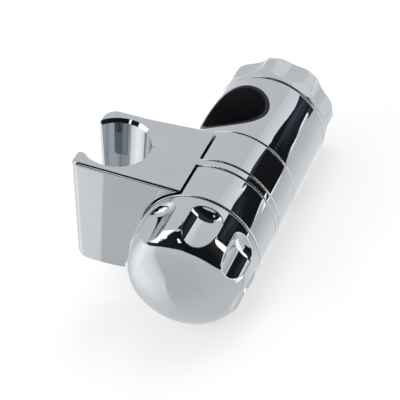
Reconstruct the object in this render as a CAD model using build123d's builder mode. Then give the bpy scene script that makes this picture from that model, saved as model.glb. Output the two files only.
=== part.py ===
from build123d import *
import os

os.makedirs("parts", exist_ok=True)

# Sliding shower bracket for a vertical riser rail, in millimetres.
# Z runs up the rail, X runs along the barrel towards the tilt knob and the arm
# reaches forwards to -Y. The origin is where the rail axis crosses the barrel axis.

# Barrel, in order along X
barrel_r = 20.0
body_far_len = 16.7
body_near_len = 15.2
fixed_sleeve_len = 15.8
rib_w = 3.1
pressure_sleeve_len = 15.3
knob_gap = 0.3
rib_gap = 0.15
seam_round = 0.4
through_len = 4 * barrel_r
seam_turn = 90.0
same = 0.01

x_rib_far = body_near_len + fixed_sleeve_len
x_rib_near = x_rib_far + rib_w
x_rib_mid = x_rib_far + rib_w / 2
x_sleeve_near = x_rib_near + pressure_sleeve_len
x_tilt_rim = x_sleeve_near + knob_gap
x_clamp_rim = -body_far_len - knob_gap

# Fits
run_fit = 0.05
seat_fit = 0.05
slide_fit = 0.08
loose_fit = 0.3

# Rail and its liner
rail_r = 11.0
rail_clearance = 0.15
liner_wall = 1.2
liner_sink = 0.15
liner_edge_round = 0.3
rail_mouth_round = 0.2
liner_bore_r = rail_r + rail_clearance
liner_r = liner_bore_r + liner_wall

# Tilt joint inside the two sleeves
spigot_r = 10.0
hub_len = 19.0
friction_t = 1.0
sleeve_wall = 2.4
hub_gap = 1.6
hub_r = barrel_r - sleeve_wall - hub_gap
flat_half = 8.2
flat_len = 3.2
flat_start = 0.4
flat_lead = 0.6
x_hub_far = x_rib_mid - hub_len / 2
x_hub_near = x_rib_mid + hub_len / 2
x_far_web = x_hub_far - friction_t
x_near_web = x_hub_near + friction_t
x_flats = x_near_web + flat_start
x_spigot_end = x_flats + flat_len

# Dogs that key the fixed sleeve to the body
dog_wall = 3.0
dog_w = 4.0
dog_outer_r = barrel_r - dog_wall
dog_inner_r = dog_outer_r - dog_w
dog_half_angle = 9.0
dog_depth = 2.0
dog_angle = 45.0
dog_count = 2

# Moulding cores in the body and in the fixed sleeve's web
core_wall = 2.4
core_w = 2.4
core_outer_r = barrel_r - core_wall
core_inner_r = core_outer_r - core_w
core_half_angle = 19.0
core_depth = 27.0
web_core_wall = 2.2
web_core_w = 3.4
web_core_outer_r = barrel_r - sleeve_wall - web_core_wall
web_core_inner_r = web_core_outer_r - web_core_w
web_core_half_angle = 24.0
web_core_depth = 4.4
web_core_count = 4

# Screws and the brass insert
thread_r = 4.0
press_r = 3.6
press_spare = 0.4
screw_bevel = 0.8
insert_r = 6.0
insert_len = 20.0
insert_groove_w = 2.0
insert_groove_depth = 0.6
insert_groove_count = 3
insert_bore_spare = 5.0
tilt_tip_inset = 3.0
x_insert_far = x_spigot_end - insert_len

# Spring and pressure washer under the tilt knob
spring_t = 0.8
spring_dish = 0.7
spring_hole_r = 4.8
spring_seat_r = 12.4
pressure_washer_t = 1.0
washer_hole_r = 4.3
x_washer_seat = x_sleeve_near - pressure_washer_t
x_spring_seat = x_washer_seat - spring_t - spring_dish

# Knobs: the tilt knob has a long round dome, the clamp knob a shorter one with deeper scoops
tilt_knob_len = 22.9
tilt_shoulder_r = 9.7
tilt_crown_r = 43.0
tilt_scoop_depth = 2.6
tilt_shoulder_wall = 8.4
clamp_knob_len = 19.3
clamp_shoulder_r = 6.0
clamp_crown_r = 41.0
clamp_scoop_depth = 3.45
clamp_shoulder_wall = 6.4
knob_wall = 2.1
crown_wall = 2.5
crown_corner_wall = 4.3
cavity_taper = 4.5
cavity_round = 2.0
rim_wall = 2.6
rim_recess_depth = 2.2
knob_hub_r = 7.0
knob_hole_wall = 3.2
knob_rib_t = 1.8
knob_rib_count = 4
knob_rib_dome = 1.5
knob_rib_root = 0.3
tilt_rib_start = 3.0
clamp_rib_gap = 2.2
scoop_count = 8
scoop_tool_r = 8.5
scoop_end_r = 4.0
scoop_start = 2.45
tilt_knob_turn = -38.0
clamp_knob_turn = 37.6

# Rail clamp inside the clamp knob
boss_r = 11.5
pocket_r = 7.0
pocket_key_w = 3.0
pocket_key_r = 8.8
pad_r = 6.7
pad_recess = 0.25
pad_back = 13.0
stub_r = 2.6
stub_len = 1.3
stub_spare = 0.2
carrier_len = 6.0
carrier_hole_end = 2.4
carrier_tip_gap = 0.5
collar_r = 6.0
collar_t = 1.8
collar_space = 1.6
thrust_washer_t = 0.8
cap_plug_r = 9.0
cap_plug_len = 2.5
cap_flange_t = 1.3
clip_ring_t = 0.8
clip_ring_r = 6.2
clip_ring_slot = 5.0
clip_groove = 0.7
knob_washer_t = 0.8
knob_washer_r = 7.4
x_carrier_back = -pad_back - carrier_len
x_collar_near = x_carrier_back - collar_space
x_collar_far = x_collar_near - collar_t
x_cap_near = x_collar_far - thrust_washer_t
x_boss_end = x_cap_near - cap_plug_len
x_cap_far = x_boss_end - cap_flange_t
x_ring_far = x_cap_far - clip_ring_t
x_clamp_hub = x_ring_far - knob_washer_t

# Arm, drawn level and then tipped up: reach runs to -Y and height along Z
arm_tilt = 26.9
arm_gap = 0.65
arm_top = 19.0
arm_low = 21.3
arm_low_reach = 30.0
arm_low_round = 45.0
arm_heel_reach = 13.0
arm_heel_low = 17.8
arm_heel_round = 1.0
arm_root_reach = 6.0
arm_root_low = 8.0
arm_tip = 45.3
arm_tip_foot = 43.6
arm_foot_round = 5.0
arm_far_bend_reach = 30.4
arm_far_bend_round = 30.0
near_nose_round = 2.4
far_nose_round = 4.6
arm_top_round = 1.1

# Handset clip at the end of the arm, and the arm's plan outline to either side of it
clip_offset = 1.65
clip_reach = 35.5
cone_top_r = 11.2
cone_foot_r = 9.5
cone_lead = 1.1
mouth_far_half = 7.2
mouth_near_half = 8.6
mouth_round = 1.2
near_root_half = 14.6
near_tip_half = 15.2
far_root_half = 18.3
far_bend_half = 15.6
far_tip_half = 15.2
clip_x = x_rib_mid + clip_offset
mouth_far = clip_x - mouth_far_half
mouth_near = clip_x + mouth_near_half
arm_near_root = clip_x + near_root_half
arm_near_tip = clip_x + near_tip_half
arm_far_root = clip_x - far_root_half
arm_far_bend = clip_x - far_bend_half
arm_far_tip = clip_x - far_tip_half


def bar(x0, x1, radius, mode=Mode.ADD):
    """A round bar on the barrel axis from x0 to x1."""
    with Locations(Location((x0, 0, 0), (0, 90, 0))):
        Cylinder(
            radius, x1 - x0, rotation=(0, 0, seam_turn),
            align=(Align.CENTER, Align.CENTER, Align.MIN), mode=mode,
        )


def rims(builder, x, radius):
    """The round edges of one radius at one station on the barrel axis."""
    return builder.edges().filter_by(GeomType.CIRCLE).filter_by(
        lambda e: abs(e.radius - radius) < same
        and abs(e.arc_center.X - x) < same
        and abs(e.arc_center.Y) + abs(e.arc_center.Z) < same
    )


def kidneys(x, depth, inner_r, outer_r, half_angle, first, count, mode=Mode.SUBTRACT):
    """Curved slots round the barrel axis, drawn at x and pushed depth along X."""
    with BuildSketch(Plane(origin=(x, 0, 0), x_dir=(0, 1, 0), z_dir=(1, 0, 0))) as slots:
        for k in range(count):
            middle = first + 360 / count * k
            centre_line = CenterArc(
                (0, 0), (inner_r + outer_r) / 2, middle - half_angle, 2 * half_angle, mode=Mode.PRIVATE
            )
            SlotArc(centre_line, outer_r - inner_r)
    extrude(slots.sketch, amount=depth, mode=mode)


def flatted_bar(x0, x1, radius, half_width, mode):
    """A round bar with two flats, which keys the pressure sleeve to the spigot."""
    with BuildSketch(Plane(origin=(x0, 0, 0), x_dir=(0, 1, 0), z_dir=(1, 0, 0))) as flatted:
        Circle(radius)
        Rectangle(2 * radius, 2 * half_width, mode=Mode.INTERSECT)
    extrude(flatted.sketch, amount=x1 - x0, mode=mode)


def scoop_tool(depth, knob_len):
    """Cutter for one finger scoop, lying above the barrel with its round nose to the rim."""
    axis_h = barrel_r - depth + scoop_tool_r
    x_end = knob_len + scoop_end_r
    with BuildPart() as tool:
        with BuildSketch(Plane.XZ):
            with BuildLine():
                Polyline(
                    (scoop_start, axis_h),
                    (scoop_start, axis_h - scoop_tool_r),
                    (x_end, axis_h - scoop_tool_r),
                    (x_end, axis_h),
                    close=True,
                )
            make_face()
            fillet(vertices().sort_by(Axis.X)[:2].sort_by(Axis.Y)[:1], scoop_end_r)
        revolve(axis=Axis((0, 0, axis_h), (1, 0, 0)))
    return tool.part


def knob(length, shoulder_r, crown_r, scoop_depth, shoulder_wall, hub_face, rib_start):
    """One domed knob with its rim at x = 0 and its crown towards +X."""
    crown_centre = length - crown_r
    shoulder_h = barrel_r - shoulder_r
    shoulder_x = crown_centre + ((crown_r - shoulder_r) ** 2 - shoulder_h**2) ** 0.5
    blend = crown_r / (crown_r - shoulder_r)
    blend_x = crown_centre + (shoulder_x - crown_centre) * blend
    blend_h = shoulder_h * blend
    cavity_r = barrel_r - scoop_depth - knob_wall
    cavity_straight = length - shoulder_wall
    cavity_depth = length - crown_wall
    with BuildPart() as shell:
        with BuildSketch(Plane.XY):
            with BuildLine():
                Polyline((length, 0), (0, 0), (0, barrel_r), (shoulder_x, barrel_r))
                RadiusArc((shoulder_x, barrel_r), (blend_x, blend_h), shoulder_r)
                RadiusArc((blend_x, blend_h), (length, 0), crown_r)
            make_face()
        revolve(axis=Axis.X)
        scoop_turns = [360 / scoop_count * k for k in range(scoop_count)]
        with Locations(*[Location((0, 0, 0), (turn, 0, 0)) for turn in scoop_turns]):
            add(scoop_tool(scoop_depth, length), mode=Mode.SUBTRACT)
        fillet(rims(shell, 0, barrel_r), seam_round)
        with BuildSketch(Plane.XY):
            with BuildLine():
                Polyline(
                    (0, 0),
                    (0, cavity_r),
                    (cavity_straight, cavity_r),
                    (length - crown_corner_wall, cavity_r - cavity_taper),
                    (cavity_depth, 0),
                    close=True,
                )
            make_face()
            fillet(vertices().group_by(Axis.Y)[-1].sort_by(Axis.X)[-1:], cavity_round)
        revolve(axis=Axis.X, mode=Mode.SUBTRACT)
        bar(0, rim_recess_depth, barrel_r - rim_wall, Mode.SUBTRACT)
        bar(hub_face, length - crown_wall / 2, knob_hub_r)
        rib_turns = [360 / knob_rib_count * (k + 0.5) for k in range(knob_rib_count)]
        with Locations(*[Location((rib_start, 0, 0), (turn, 0, 0)) for turn in rib_turns]):
            Box(
                cavity_straight + knob_rib_dome - rib_start, knob_rib_t, cavity_r + knob_rib_root,
                align=(Align.MIN, Align.CENTER, Align.MIN),
            )
        bar(min(0, hub_face), length - knob_hole_wall, press_r + seat_fit, Mode.SUBTRACT)
    return shell.part


# Body: the barrel's rail end, its spigot for the tilt joint and its clamp boss
with BuildPart() as body:
    bar(-body_far_len, body_near_len, barrel_r)
    fillet(rims(body, -body_far_len, barrel_r) + rims(body, body_near_len, barrel_r), seam_round)
    bar(x_boss_end, -body_far_len, boss_r)
    bar(body_near_len, x_flats, spigot_r)
    flatted_bar(x_flats, x_spigot_end, spigot_r, flat_half, Mode.ADD)
    Cylinder(liner_r + seat_fit, through_len, mode=Mode.SUBTRACT)
    mouths = body.edges(Select.LAST).filter_by(lambda e: abs(e.center().Z) > barrel_r / 2)
    fillet(mouths, rail_mouth_round)
    bar(x_insert_far - insert_bore_spare, x_spigot_end, insert_r + seat_fit, Mode.SUBTRACT)
    bar(x_boss_end, 0, pocket_r, Mode.SUBTRACT)
    bar(x_boss_end, x_cap_near, cap_plug_r + seat_fit, Mode.SUBTRACT)
    with Locations((x_boss_end, 0, 0)):
        Box(
            -x_boss_end, 2 * pocket_key_r, pocket_key_w,
            align=(Align.MIN, Align.CENTER, Align.CENTER), mode=Mode.SUBTRACT,
        )
    kidneys(body_near_len, -core_depth, core_inner_r, core_outer_r, core_half_angle, 0, 2)
    kidneys(
        body_near_len, -dog_depth - slide_fit, dog_inner_r - slide_fit, dog_outer_r + slide_fit,
        dog_half_angle, dog_angle, dog_count,
    )
body.part.label = "body"
export_step(body.part, "parts/body.step")

# Black liner that lines the rail bore and grips the rail
with BuildPart() as rail_liner:
    Cylinder(liner_r, through_len)
    Cylinder(liner_bore_r, through_len, mode=Mode.SUBTRACT)
    bar(-barrel_r, barrel_r, barrel_r - liner_sink, Mode.INTERSECT)
    inner_edges = rail_liner.edges().filter_by(
        lambda e: abs(((e @ 0.5).X ** 2 + (e @ 0.5).Y ** 2) ** 0.5 - liner_bore_r) < same
        and abs(e.center().Z) > same
    )
    fillet(inner_edges, liner_edge_round)
    bar(-barrel_r, 0, pocket_r + seat_fit, Mode.SUBTRACT)
rail_liner.part.label = "rail_liner"
export_step(rail_liner.part, "parts/rail_liner.step")

# Fixed sleeve, keyed to the body, that covers the far half of the arm's hub
with BuildPart() as fixed_sleeve:
    bar(body_near_len, x_rib_far - rib_gap, barrel_r)
    fillet(rims(fixed_sleeve, body_near_len, barrel_r), seam_round)
    fillet(rims(fixed_sleeve, x_rib_far - rib_gap, barrel_r), seam_round)
    bar(x_far_web, x_rib_far, barrel_r - sleeve_wall, Mode.SUBTRACT)
    bar(body_near_len, x_far_web, spigot_r + seat_fit, Mode.SUBTRACT)
    kidneys(
        x_far_web, -web_core_depth, web_core_inner_r, web_core_outer_r, web_core_half_angle,
        0, web_core_count,
    )
    kidneys(
        body_near_len, -dog_depth, dog_inner_r, dog_outer_r, dog_half_angle,
        dog_angle, dog_count, Mode.ADD,
    )
fixed_sleeve.part.label = "fixed_sleeve"
export_step(fixed_sleeve.part, "parts/fixed_sleeve.step")

# Brass insert in the spigot, which takes the tilt screw
with BuildPart() as pivot_insert:
    bar(x_insert_far, x_spigot_end, insert_r)
    with BuildSketch(Plane.XY):
        pitch = insert_len / insert_groove_count
        grooves = [x_insert_far + pitch * (k + 0.5) for k in range(insert_groove_count)]
        with Locations(*[(x, insert_r) for x in grooves]):
            Rectangle(insert_groove_w, 2 * insert_groove_depth)
    revolve(axis=Axis.X, mode=Mode.SUBTRACT)
    bar(x_insert_far, x_spigot_end, thread_r + run_fit, Mode.SUBTRACT)
pivot_insert.part.label = "pivot_insert"
export_step(pivot_insert.part, "parts/pivot_insert.step")

# Friction rings on both faces of the arm's hub
with BuildPart() as far_friction_ring:
    bar(x_far_web, x_hub_far, hub_r)
    bar(x_far_web, x_hub_far, spigot_r + slide_fit, Mode.SUBTRACT)
far_friction_ring.part.label = "far_friction_ring"
export_step(far_friction_ring.part, "parts/far_friction_ring.step")

with BuildPart() as near_friction_ring:
    bar(x_hub_near, x_near_web, hub_r)
    bar(x_hub_near, x_near_web, spigot_r + slide_fit, Mode.SUBTRACT)
near_friction_ring.part.label = "near_friction_ring"
export_step(near_friction_ring.part, "parts/near_friction_ring.step")

# Pressure sleeve, keyed to the spigot's flats, that the tilt knob pushes on the hub
with BuildPart() as pressure_sleeve:
    bar(x_rib_near + rib_gap, x_sleeve_near, barrel_r)
    fillet(rims(pressure_sleeve, x_rib_near + rib_gap, barrel_r), seam_round)
    fillet(rims(pressure_sleeve, x_sleeve_near, barrel_r), seam_round)
    bar(x_rib_near, x_near_web, barrel_r - sleeve_wall, Mode.SUBTRACT)
    bar(x_near_web, x_flats + flat_lead, spigot_r + slide_fit, Mode.SUBTRACT)
    flatted_bar(
        x_flats + flat_lead, x_spring_seat, spigot_r + slide_fit, flat_half + slide_fit, Mode.SUBTRACT
    )
    bar(x_spring_seat, x_sleeve_near, spring_seat_r, Mode.SUBTRACT)
pressure_sleeve.part.label = "pressure_sleeve"
export_step(pressure_sleeve.part, "parts/pressure_sleeve.step")

# Dished spring washer and flat washer in the pressure sleeve's near face
with BuildPart() as spring_washer:
    spring_rim = spring_seat_r - loose_fit
    with BuildSketch(Plane.XY):
        Polygon(
            (x_spring_seat, spring_rim),
            (x_spring_seat + spring_t, spring_rim),
            (x_washer_seat, spring_hole_r),
            (x_washer_seat - spring_t, spring_hole_r),
            align=None,
        )
    revolve(axis=Axis.X)
spring_washer.part.label = "spring_washer"
export_step(spring_washer.part, "parts/spring_washer.step")

with BuildPart() as pressure_washer:
    bar(x_washer_seat, x_sleeve_near, spring_seat_r - slide_fit)
    bar(x_washer_seat, x_sleeve_near, washer_hole_r, Mode.SUBTRACT)
pressure_washer.part.label = "pressure_washer"
export_step(pressure_washer.part, "parts/pressure_washer.step")

# Tilt knob and the screw pressed into its hub
with BuildPart() as tilt_knob:
    with Locations(Location((x_tilt_rim, 0, 0), (tilt_knob_turn, 0, 0))):
        add(
            knob(
                tilt_knob_len, tilt_shoulder_r, tilt_crown_r, tilt_scoop_depth, tilt_shoulder_wall,
                -knob_gap, tilt_rib_start,
            )
        )
tilt_knob.part.label = "tilt_knob"
export_step(tilt_knob.part, "parts/tilt_knob.step")

with BuildPart() as tilt_screw:
    x_tip = x_insert_far + tilt_tip_inset
    bar(x_tip, x_sleeve_near, thread_r)
    bar(x_sleeve_near, x_tilt_rim + tilt_knob_len - knob_hole_wall - press_spare, press_r)
    chamfer(rims(tilt_screw, x_tip, thread_r), screw_bevel)
tilt_screw.part.label = "tilt_screw"
export_step(tilt_screw.part, "parts/tilt_screw.step")

# Clamp knob, its captive screw, the ring that holds it and its thrust washers
with BuildPart() as clamp_knob:
    facing = Location((x_clamp_rim, 0, 0), (0, 0, 180))
    with Locations(facing * Location((0, 0, 0), (clamp_knob_turn, 0, 0))):
        add(
            knob(
                clamp_knob_len, clamp_shoulder_r, clamp_crown_r, clamp_scoop_depth, clamp_shoulder_wall,
                x_clamp_rim - x_clamp_hub, x_clamp_rim - x_cap_far + clamp_rib_gap,
            )
        )
clamp_knob.part.label = "clamp_knob"
export_step(clamp_knob.part, "parts/clamp_knob.step")

with BuildPart() as clamp_screw:
    x_tip = -pad_back - carrier_hole_end - carrier_tip_gap
    bar(x_clamp_hub, x_tip, thread_r)
    bar(x_collar_far, x_collar_near, collar_r)
    bar(x_ring_far, x_cap_far, thread_r, Mode.SUBTRACT)
    bar(x_ring_far, x_cap_far, thread_r - clip_groove)
    bar(x_clamp_rim - clamp_knob_len + knob_hole_wall + press_spare, x_clamp_hub, press_r)
    chamfer(rims(clamp_screw, x_tip, thread_r), screw_bevel)
clamp_screw.part.label = "clamp_screw"
export_step(clamp_screw.part, "parts/clamp_screw.step")

with BuildPart() as retaining_ring:
    bar(x_ring_far, x_cap_far, clip_ring_r)
    bar(x_ring_far, x_cap_far, thread_r - clip_groove + seat_fit, Mode.SUBTRACT)
    with Locations((x_ring_far, 0, -clip_ring_r)):
        Box(
            clip_ring_t, clip_ring_slot, clip_ring_r,
            align=(Align.MIN, Align.CENTER, Align.CENTER), mode=Mode.SUBTRACT,
        )
retaining_ring.part.label = "retaining_ring"
export_step(retaining_ring.part, "parts/retaining_ring.step")

with BuildPart() as knob_washer:
    bar(x_clamp_hub, x_ring_far, knob_washer_r)
    bar(x_clamp_hub, x_ring_far, thread_r + run_fit, Mode.SUBTRACT)
knob_washer.part.label = "knob_washer"
export_step(knob_washer.part, "parts/knob_washer.step")

with BuildPart() as thrust_washer:
    bar(x_cap_near, x_collar_far, pocket_r - slide_fit)
    bar(x_cap_near, x_collar_far, thread_r + run_fit, Mode.SUBTRACT)
thrust_washer.part.label = "thrust_washer"
export_step(thrust_washer.part, "parts/thrust_washer.step")

# Cap that closes the clamp boss and carries the screw's thrust
with BuildPart() as thrust_cap:
    bar(x_boss_end, x_cap_near, cap_plug_r)
    bar(x_cap_far, x_boss_end, boss_r)
    bar(x_cap_far, x_cap_near, thread_r + run_fit, Mode.SUBTRACT)
thrust_cap.part.label = "thrust_cap"
export_step(thrust_cap.part, "parts/thrust_cap.step")

# Pad carrier, a keyed nut that the clamp screw drives along the pocket
with BuildPart() as pad_carrier:
    bar(x_carrier_back, -pad_back, pocket_r - slide_fit)
    with Locations((x_carrier_back, 0, 0)):
        Box(
            carrier_len, 2 * (pocket_key_r - slide_fit), pocket_key_w - 2 * slide_fit,
            align=(Align.MIN, Align.CENTER, Align.CENTER),
        )
    bar(x_carrier_back, -pad_back - carrier_hole_end, thread_r + run_fit, Mode.SUBTRACT)
    bar(-pad_back - stub_len - stub_spare, -pad_back, stub_r + seat_fit, Mode.SUBTRACT)
pad_carrier.part.label = "pad_carrier"
export_step(pad_carrier.part, "parts/pad_carrier.step")

# Soft pad with a hollow face that presses on the rail
with BuildPart() as clamp_pad:
    bar(-pad_back, 0, pad_r)
    Cylinder(liner_bore_r + pad_recess, through_len, mode=Mode.SUBTRACT)
    bar(-pad_back - stub_len, -pad_back, stub_r)
clamp_pad.part.label = "clamp_pad"
export_step(clamp_pad.part, "parts/clamp_pad.step")

# Arm block, drawn level: plan outline, side outline, room for the barrel and the clip
with BuildPart() as arm_block:
    with BuildSketch(Plane.XY.offset(arm_top)) as plan:
        with BuildLine():
            Polyline(
                (arm_near_root, -arm_root_reach),
                (arm_near_tip, -arm_tip),
                (arm_far_tip, -arm_tip),
                (arm_far_bend, -arm_far_bend_reach),
                (arm_far_root, -arm_root_reach),
                close=True,
            )
        make_face()
        fillet(plan.vertices().filter_by(lambda v: abs(v.X - arm_near_tip) < same), near_nose_round)
        fillet(plan.vertices().filter_by(lambda v: abs(v.X - arm_far_tip) < same), far_nose_round)
        fillet(plan.vertices().filter_by(lambda v: abs(v.X - arm_far_bend) < same), arm_far_bend_round)
        with Locations(((mouth_far + mouth_near) / 2, -clip_reach)):
            Rectangle(mouth_near - mouth_far, arm_tip, align=(Align.CENTER, Align.MAX), mode=Mode.SUBTRACT)
        tips = plan.vertices().group_by(Axis.Y)[0]
        fillet(tips.filter_by(lambda v: mouth_far - same < v.X < mouth_near + same), mouth_round)
    lean = Vector(0, arm_tip - arm_tip_foot, -arm_top - arm_low)
    extrude(amount=lean.length, dir=lean)
    outer_top = arm_block.edges().group_by(Axis.Z)[-1]
    fillet(outer_top.filter_by(lambda e: e.center().Y < -arm_root_reach - same), arm_top_round)
    with BuildSketch(Plane.YZ) as side:
        with BuildLine():
            Polyline(
                (-arm_root_reach, arm_top),
                (-arm_tip, arm_top),
                (-arm_tip_foot, -arm_low),
                (-arm_low_reach, -arm_low),
                (-arm_heel_reach, -arm_heel_low),
                (-arm_heel_reach, -arm_root_low),
                (-arm_root_reach, -arm_root_low),
                close=True,
            )
        make_face()
        fillet(side.vertices().filter_by(lambda v: abs(v.X + arm_tip_foot) < same), arm_foot_round)
        fillet(side.vertices().filter_by(lambda v: abs(v.X + arm_low_reach) < same), arm_low_round)
        fillet(side.vertices().filter_by(lambda v: abs(v.Y + arm_heel_low) < same), arm_heel_round)
    extrude(amount=2 * arm_near_tip, mode=Mode.INTERSECT)
    bar(0, x_rib_far, barrel_r + arm_gap, Mode.SUBTRACT)
    bar(x_rib_near, 2 * arm_near_tip, barrel_r + arm_gap, Mode.SUBTRACT)
    with Locations((clip_x, -clip_reach, (arm_top - arm_low) / 2)):
        Cone(cone_foot_r, cone_top_r, arm_top + arm_low, mode=Mode.SUBTRACT)
    with Locations((clip_x, -clip_reach, arm_top - cone_lead / 2)):
        Cone(cone_top_r, cone_top_r + cone_lead, cone_lead, mode=Mode.SUBTRACT)

# Arm: the block tipped up on its rib, with the hub that turns on the spigot
with BuildPart() as holder_arm:
    bar(x_rib_far, x_rib_near, barrel_r)
    fillet(rims(holder_arm, x_rib_far, barrel_r) + rims(holder_arm, x_rib_near, barrel_r), seam_round)
    bar(x_hub_far, x_hub_near, hub_r)
    with Locations(Location((0, 0, 0), (-arm_tilt, 0, 0))):
        add(arm_block.part)
    bar(x_hub_far, x_hub_near, spigot_r + run_fit, Mode.SUBTRACT)
holder_arm.part.label = "holder_arm"
export_step(holder_arm.part, "parts/holder_arm.step")
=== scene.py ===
import math

import bpy
from mathutils import Matrix, Vector


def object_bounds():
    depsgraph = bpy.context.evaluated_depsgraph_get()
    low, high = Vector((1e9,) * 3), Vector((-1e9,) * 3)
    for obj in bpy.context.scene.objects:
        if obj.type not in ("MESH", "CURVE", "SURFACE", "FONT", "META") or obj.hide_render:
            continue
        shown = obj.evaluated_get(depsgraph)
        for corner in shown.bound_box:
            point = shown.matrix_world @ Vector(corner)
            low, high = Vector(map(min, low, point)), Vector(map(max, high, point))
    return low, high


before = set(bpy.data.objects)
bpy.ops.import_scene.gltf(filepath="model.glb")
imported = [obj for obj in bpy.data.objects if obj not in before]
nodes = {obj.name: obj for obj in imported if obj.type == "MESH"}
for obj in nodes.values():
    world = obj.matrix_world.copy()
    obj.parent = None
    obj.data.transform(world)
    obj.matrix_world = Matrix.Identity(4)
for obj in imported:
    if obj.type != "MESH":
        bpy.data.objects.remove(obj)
cad_low, cad_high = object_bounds()
scene = bpy.context.scene


# Materials, with every length in metres

# Most values of a noise texture lie between these two
noise_low, noise_high = 0.3, 0.7
# Radius that the Bevel node gives the plated edges, which are crisper on the arm
soft_edge, crisp_edge = 0.0006, 0.0002
bevel_samples = 8


def material(name):
    """A new material, its node tree and its Principled shader."""
    made = bpy.data.materials.new(name)
    made.use_nodes = True
    return made, made.node_tree, made.node_tree.nodes["Principled BSDF"]


def noise(tree, place, scale, detail=3.0, rough=0.5):
    """A noise in the object's own coordinates."""
    texture = tree.nodes.new("ShaderNodeTexNoise")
    texture.inputs["Scale"].default_value = scale
    texture.inputs["Detail"].default_value = detail
    texture.inputs["Roughness"].default_value = rough
    tree.links.new(place.outputs["Object"], texture.inputs["Vector"])
    return texture.outputs["Fac"]


def spread(tree, source, low, high):
    """A noise mapped onto low to high."""
    mapped = tree.nodes.new("ShaderNodeMapRange")
    mapped.inputs["From Min"].default_value = noise_low
    mapped.inputs["From Max"].default_value = noise_high
    mapped.inputs["To Min"].default_value = low
    mapped.inputs["To Max"].default_value = high
    tree.links.new(source, mapped.inputs["Value"])
    return mapped.outputs["Result"]


def tint(tree, source, first, second, start=noise_low, end=noise_high):
    """A colour that goes from first to second while source goes from start to end."""
    ramp = tree.nodes.new("ShaderNodeValToRGB")
    ramp.color_ramp.elements[0].position = start
    ramp.color_ramp.elements[1].position = end
    ramp.color_ramp.elements[0].color = (*first, 1)
    ramp.color_ramp.elements[1].color = (*second, 1)
    tree.links.new(source, ramp.inputs["Fac"])
    return ramp.outputs["Color"]


def surface(name, dark, pale, metal, rough, mottle, grain, height, edge=0.0, specular=0.5):
    """A plated, moulded or turned surface.

    Its colour is mottled between dark and pale, and its roughness uneven between the two values of rough.
    mottle and grain are noise scales, height is the depth of the grain, and edge the radius of soft edges.
    """
    made, tree, shader = material(name)
    place = tree.nodes.new("ShaderNodeTexCoord")
    patches = noise(tree, place, mottle)
    fine = noise(tree, place, grain, detail=4.0, rough=0.6)
    shader.inputs["Metallic"].default_value = metal
    shader.inputs["Specular IOR Level"].default_value = specular
    tree.links.new(tint(tree, patches, dark, pale), shader.inputs["Base Color"])
    tree.links.new(spread(tree, fine, *rough), shader.inputs["Roughness"])
    bump = tree.nodes.new("ShaderNodeBump")
    bump.inputs["Strength"].default_value = 1.0
    bump.inputs["Distance"].default_value = height
    tree.links.new(fine, bump.inputs["Height"])
    if edge:
        bevel = tree.nodes.new("ShaderNodeBevel")
        bevel.samples = bevel_samples
        bevel.inputs["Radius"].default_value = edge
        tree.links.new(bevel.outputs["Normal"], bump.inputs["Normal"])
    tree.links.new(bump.outputs["Normal"], shader.inputs["Normal"])
    return made


plating = {
    "dark": (0.445, 0.468, 0.492), "pale": (0.467, 0.490, 0.514), "metal": 1.0, "rough": (0.012, 0.03),
    "mottle": 60, "grain": 420, "height": 0.0000008,
}
chrome = surface("chrome_plating", **plating, edge=soft_edge)
sharp_chrome = surface("chrome_plating_sharp", **plating, edge=crisp_edge)
liner = surface(
    "liner_plastic", dark=(0.014, 0.014, 0.017), pale=(0.020, 0.020, 0.024), metal=0.0, rough=(0.28, 0.42),
    mottle=150, grain=2200, height=0.00002, specular=0.08,
)
inner = surface(
    "inner_plastic", dark=(0.03, 0.03, 0.032), pale=(0.05, 0.05, 0.053), metal=0.0, rough=(0.4, 0.55),
    mottle=150, grain=2000, height=0.00002,
)
nylon = surface(
    "nylon", dark=(0.70, 0.69, 0.64), pale=(0.80, 0.79, 0.75), metal=0.0, rough=(0.35, 0.5),
    mottle=200, grain=1800, height=0.00001,
)
brass = surface(
    "turned_brass", dark=(0.62, 0.45, 0.20), pale=(0.74, 0.57, 0.28), metal=1.0, rough=(0.18, 0.32),
    mottle=250, grain=2500, height=0.000008,
)
steel = surface(
    "zinc_steel", dark=(0.46, 0.46, 0.46), pale=(0.58, 0.58, 0.59), metal=1.0, rough=(0.22, 0.36),
    mottle=250, grain=2500, height=0.000008,
)
rubber = surface(
    "pad_rubber", dark=(0.010, 0.010, 0.010), pale=(0.020, 0.020, 0.020), metal=0.0, rough=(0.6, 0.8),
    mottle=300, grain=3000, height=0.00003,
)

finishes = {
    chrome: ("body", "fixed_sleeve", "pressure_sleeve", "tilt_knob", "clamp_knob"),
    sharp_chrome: ("holder_arm",),
    liner: ("rail_liner",),
    inner: ("thrust_cap",),
    nylon: ("far_friction_ring", "near_friction_ring", "thrust_washer", "knob_washer"),
    brass: ("pivot_insert", "pad_carrier"),
    steel: ("spring_washer", "pressure_washer", "tilt_screw", "clamp_screw", "retaining_ring"),
    rubber: ("clamp_pad",),
}
for finish, names in finishes.items():
    for name in names:
        mesh = nodes[name].data
        mesh.materials.clear()
        mesh.materials.append(finish)


# Floor: the camera sees it as part plain white and part lit floor, which keeps the object's own shadow
floor_half = 3.0
floor_gap = 0.0001
floor_white = 0.62

floor_z = cad_low.z - floor_gap
corners = [(x * floor_half, y * floor_half, floor_z) for x, y in ((-1, -1), (1, -1), (1, 1), (-1, 1))]
floor_mesh = bpy.data.meshes.new("floor")
floor_mesh.from_pydata(corners, [], [(0, 1, 2, 3)])
floor = bpy.data.objects.new("floor", floor_mesh)
scene.collection.objects.link(floor)

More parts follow.
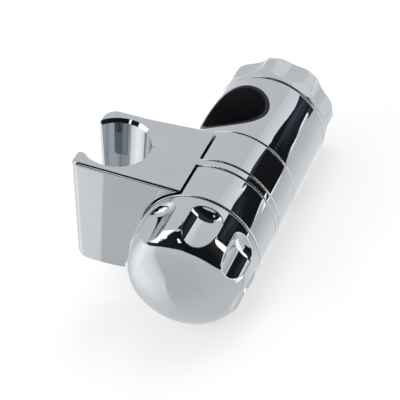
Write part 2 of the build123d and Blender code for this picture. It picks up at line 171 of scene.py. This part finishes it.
made, tree, shader = material("pale_floor")
place = tree.nodes.new("ShaderNodeTexCoord")
speck = noise(tree, place, 40)
tree.links.new(tint(tree, speck, (0.80, 0.80, 0.80), (0.84, 0.84, 0.84)), shader.inputs["Base Color"])
shader.inputs["Roughness"].default_value = 0.9
shader.inputs["Specular IOR Level"].default_value = 0.1
white = tree.nodes.new("ShaderNodeEmission")
ray = tree.nodes.new("ShaderNodeLightPath")
share = tree.nodes.new("ShaderNodeMapRange")
share.inputs["To Max"].default_value = floor_white
blend = tree.nodes.new("ShaderNodeMixShader")
tree.links.new(ray.outputs["Is Camera Ray"], share.inputs["Value"])
tree.links.new(share.outputs["Result"], blend.inputs["Fac"])
tree.links.new(shader.outputs[0], blend.inputs[1])
tree.links.new(white.outputs[0], blend.inputs[2])
tree.links.new(blend.outputs[0], tree.nodes["Material Output"].inputs["Surface"])
floor_mesh.materials.append(made)
floor.visible_glossy = False


# World: white to the camera and in reflections, plain soft light on the object
world_light = 0.97
world_white = 1.0


def larger(tree, first, second):
    """The larger of two values."""
    node = tree.nodes.new("ShaderNodeMath")
    node.operation = "MAXIMUM"
    tree.links.new(first, node.inputs[0])
    tree.links.new(second, node.inputs[1])
    return node.outputs[0]


world = bpy.data.worlds.new("studio")
scene.world = world
world.use_nodes = True
tree = world.node_tree
background = tree.nodes["Background"]
background.inputs["Color"].default_value = (1, 1, 1, 1)
ray = tree.nodes.new("ShaderNodeLightPath")
seen = larger(tree, ray.outputs["Is Camera Ray"], ray.outputs["Is Glossy Ray"])
seen = larger(tree, seen, ray.outputs["Is Transmission Ray"])
strength = tree.nodes.new("ShaderNodeMapRange")
strength.inputs["To Min"].default_value = world_light
strength.inputs["To Max"].default_value = world_white
tree.links.new(seen, strength.inputs["Value"])
tree.links.new(strength.outputs["Result"], background.inputs["Strength"])


def softbox(name, place, size, watts):
    """A rectangular lamp that shines at the middle of the frame and isn't seen in reflections."""
    data = bpy.data.lights.new(name, "AREA")
    data.shape = "RECTANGLE"
    data.size, data.size_y = size
    data.energy = watts
    lamp = bpy.data.objects.new(name, data)
    lamp.location = place
    lamp.rotation_euler = (Vector((0, 0, 0)) - Vector(place)).to_track_quat("-Z", "Y").to_euler()
    lamp.visible_glossy = False
    scene.collection.objects.link(lamp)


softbox("key_light", (-0.5, 0.2, 1.1), (0.7, 0.5), 5)
softbox("fill_light", (0.7, -0.7, 0.7), (0.5, 0.5), 2)


# Cards that the plating reflects, with all angles in degrees
card_columns = 120
card_rows = 12
whole = [(-90, 1.0), (90, 1.0)]
# Values of the smudge's noise at which its colour starts and is full
smudge_start, smudge_full = 0.5, 0.72


def value_at(pairs, where):
    """The value at an angle, on straight lines between (angle, value) pairs."""
    for (a0, v0), (a1, v1) in zip(pairs, pairs[1:]):
        if where <= a1:
            return v0 + (v1 - v0) * (where - a0) / (a1 - a0)
    return pairs[-1][1]


def card(name, radius, low, high, light, kept=whole, colour=(1, 1, 1), smudge=None):
    """A glowing patch of a sphere round the object, seen in reflections only.

    low and high are its lower and upper edges, as (azimuth, elevation) pairs, and light is its strength, as
    (azimuth, strength) pairs. kept says how much of the strength's difference from 1 is kept at each
    elevation, as (elevation, share) pairs. smudge is the noise scale and the colour of faint marks.
    """
    start, end = low[0][0], low[-1][0]
    points, faces, glow = [], [], []
    for i in range(card_columns + 1):
        azimuth = start + (end - start) * i / card_columns
        bottom, top = value_at(low, azimuth), value_at(high, azimuth)
        for j in range(card_rows + 1):
            elevation = bottom + (top - bottom) * j / card_rows
            a, e = math.radians(azimuth), math.radians(elevation)
            out = radius * math.cos(e)
            points.append((out * math.cos(a), out * math.sin(a), radius * math.sin(e)))
            glow.append(1 + (value_at(light, azimuth) - 1) * value_at(kept, elevation))
    for i in range(card_columns):
        for j in range(card_rows):
            k = i * (card_rows + 1) + j
            faces.append((k, k + card_rows + 1, k + card_rows + 2, k + 1))
    data = bpy.data.meshes.new(name)
    data.from_pydata(points, [], faces)
    level = data.attributes.new("level", "FLOAT", "POINT")
    for k, value in enumerate(glow):
        level.data[k].value = value
    made = bpy.data.objects.new(name, data)
    scene.collection.objects.link(made)

    finish, tree, shader = material(name)
    tree.nodes.remove(shader)
    emission = tree.nodes.new("ShaderNodeEmission")
    emission.inputs["Color"].default_value = (*colour, 1)
    if smudge:
        scale, mark = smudge
        place = tree.nodes.new("ShaderNodeTexCoord")
        patch = noise(tree, place, scale, detail=4.0, rough=0.6)
        tree.links.new(tint(tree, patch, colour, mark, smudge_start, smudge_full), emission.inputs["Color"])
    given = tree.nodes.new("ShaderNodeAttribute")
    given.attribute_name = "level"
    tree.links.new(given.outputs["Fac"], emission.inputs["Strength"])
    tree.links.new(emission.outputs[0], tree.nodes["Material Output"].inputs["Surface"])
    data.materials.append(finish)
    made.visible_camera = False
    made.visible_diffuse = False
    made.visible_shadow = False


# The dark upper part of the room, and what is bright in it or below it
card(
    "dark_room", 1.6,
    low=[(-62, 31), (-50, 27), (-30, 27), (0, 24), (10, 18), (20, 13), (30, 5), (40, -4), (50, -12),
         (56, -13), (62, -4), (100, 0), (131, 0)],
    high=[(-62, 33), (-45, 36), (-35, 44), (-29, 52), (-26, 84), (131, 84)],
    light=[(-62, 0.12), (-45, 0.03), (20, 0.012), (60, 0.015), (100, 0.05), (131, 0.05)],
)
card(
    "dark_ceiling", 1.6,
    low=[(131, 24), (150, 46), (176, 60)],
    high=[(131, 84), (150, 85), (176, 86)],
    light=[(131, 0.05), (176, 0.05)],
)
card(
    "window", 1.5,
    low=[(99, 0), (121, 0)],
    high=[(99, 20), (108, 25), (121, 25)],
    light=[(99, 2.4), (121, 2.4)],
)
card(
    "lit_table", 1.4,
    low=[(86, -48), (131, -48)],
    high=[(86, -1), (131, -1)],
    light=[(86, 1.7), (131, 2.1)],
)
card(
    "overhead", 1.55,
    low=[(-76, 52), (-26, 52)],
    high=[(-76, 88), (-38, 84), (-32, 66), (-26, 58)],
    light=[(-76, 2.1), (-26, 2.3)],
)
card(
    "ceiling_lamp", 1.55,
    low=[(4, 46), (11, 46)],
    high=[(4, 59), (11, 59)],
    light=[(4, 2.2), (11, 2.2)],
)
card(
    "overhead_low", 1.5,
    low=[(-62, 34), (-38, 37)],
    high=[(-62, 54), (-38, 54)],
    light=[(-62, 2.0), (-38, 2.3)],
)

# Broad walls a little above or below plain white; mouth_light is for the inner wall of the clip
card(
    "mouth_light", 1.8,
    low=[(-180, -34), (-96, -30)],
    high=[(-180, -8), (-140, -6), (-125, 8), (-96, 20)],
    light=[(-180, 0.5), (-163, 0.6), (-155, 1.2), (-140, 1.4), (-105, 1.4), (-96, 1.3)],
    kept=[(-34, 0), (-26, 0.6), (-16, 1), (-3, 1), (8, 0.3), (20, 0)],
    colour=(0.96, 0.99, 1.03),
)
card(
    "side_wall", 1.1,
    low=[(-94, -46), (-50, -43), (-40.2, -28.1), (-38.1, -24.9), (-33, -17)],
    high=[(-94, 30), (-33, 26)],
    light=[(-94, 1.0), (-86, 1.1), (-72, 1.45), (-60, 1.7), (-52, 1.65), (-46, 1.45), (-40, 1.38),
           (-36, 1.2), (-33, 1.0)],
    kept=[(-46, 0), (-36, 0.2), (-28, 0.55), (-22, 0.85), (-10, 1.0), (30, 1.1)],
)
card(
    "front_wall", 2.2,
    low=[(-60, -52), (75, -52)],
    high=[(-60, 12), (20, 12), (45, -6), (75, -16)],
    light=[(-60, 0.86), (-20, 0.86), (0, 0.92), (40, 0.94), (75, 1.0)],
    kept=[(-52, 0), (-40, 0.5), (-30, 1), (-10, 0.9), (12, 0.2)],
)
card(
    "back_wall", 2.0,
    low=[(124, -62), (190, -62)],
    high=[(124, -17), (140.5, -17), (142, 18), (158, 18), (175, -8), (190, -16)],
    light=[(124, 0.78), (139, 0.80), (142, 0.9), (160, 1.1), (190, 1.0)],
    kept=[(-62, 0.3), (-45, 1), (18, 1)],
)
card(
    "back_glow", 1.9,
    low=[(118, 16), (141, 4), (148, 4)],
    high=[(118, 66), (148, 56)],
    light=[(118, 1.1), (126, 1.28), (141, 1.28), (148, 1.1)],
    kept=[(4, 1), (24, 1), (30, 0.75), (42, 0.4), (66, 0)],
)

# The dark streak along the barrel, which jogs at each seam, and the bright lines beside its edges
streak_radius, line_radius = 0.35, 0.36
warm_white = (1, 0.98, 0.94)
card(
    "dark_edge", streak_radius,
    low=[(116, -18.5), (129.4, -17.9), (130.0, -13.5), (130.6, -11.5), (131.6, -11.5), (132.4, -19),
         (136.2, -18.2), (136.5, -11.5), (137.7, -11), (138.2, -8), (139.3, -7.2), (139.7, -8),
         (140.0, -12.5), (144, -15)],
    high=[(116, 22.5), (131.2, 22.2), (131.8, 18), (132.5, 19), (133.3, 23.4), (136.0, 22.8), (136.7, 20.5),
          (137.0, 17), (137.7, 17.6), (138.3, 15.5), (138.7, 12.5), (139.4, 11), (140.4, 11.5),
          (141.5, 13.5), (144, 16)],
    light=[(116, 1), (144, 1)],
    colour=(0.016, 0.016, 0.017),
    smudge=(16, (0.08, 0.10, 0.14)),
)
# Close to the far knob, to keep the streak out of its reflections
card(
    "far_screen", 0.094,
    low=[(138.5, -1), (139.3, -9.2), (139.6, -11), (175, -11)],
    high=[(138.5, 0), (139.1, 13.4), (142.7, 20.9), (145, 26.9), (175, 27)],
    light=[(138.5, 1.2), (175, 1.2)],
    kept=[(-11, -0.4), (-2, 0.1), (6, 1), (27, 1)],
)
card(
    "edge_line", line_radius,
    low=[(116, -20.5), (129.4, -19.9), (130.6, -13.5), (131.6, -13.5), (132.4, -21), (136.1, -20.2),
         (136.6, -13.5), (137.7, -13), (138.3, -10), (139.3, -9.2), (140.3, -10)],
    high=[(116, -16), (129.4, -16), (130.6, -9.5), (131.6, -9.5), (132.4, -17), (136.1, -16), (136.6, -9.5),
          (137.7, -9), (138.3, -6), (139.3, -5.2), (140.3, -6)],
    light=[(116, 1.9), (140.3, 1.9)],
    colour=warm_white,
)
card(
    "upper_line", line_radius,
    low=[(116, 20), (131.2, 19.5), (131.8, 15), (132.5, 16), (133.3, 20), (136.0, 20), (136.7, 18),
         (137.0, 15), (137.7, 15), (138.3, 13), (138.7, 10), (139.4, 8), (140.3, 8)],
    high=[(116, 23.8), (131.2, 23.5), (131.8, 19.3), (132.5, 20.3), (133.3, 24.7), (136.0, 24.1),
          (136.7, 21.8), (137.0, 18.3), (137.7, 18.9), (138.3, 16.8), (138.7, 13.8), (139.4, 12.3),
          (140.3, 12.3)],
    light=[(116, 1.6), (140.3, 1.6)],
    colour=warm_white,
)


# Camera at the photograph's angle, in the part's own frame
camera_place = (0.3527, 0.23215, 0.22867)
camera_data = bpy.data.cameras.new("camera")
camera_data.lens = 126
camera_data.sensor_width = 36
camera_data.clip_start = 0.01
camera_data.clip_end = 20
camera = bpy.data.objects.new("camera", camera_data)
scene.collection.objects.link(camera)
right = Vector((-0.3617, 0.8499, -0.3833))
up = Vector((-0.6142, 0.0921, 0.7837))
ahead = Vector((-0.7014, -0.5189, -0.4887))
turn = Matrix((right, up, -ahead)).transposed()
camera.matrix_world = Matrix.Translation(camera_place) @ turn.to_4x4()
scene.camera = camera

scene.view_settings.view_transform = "Standard"
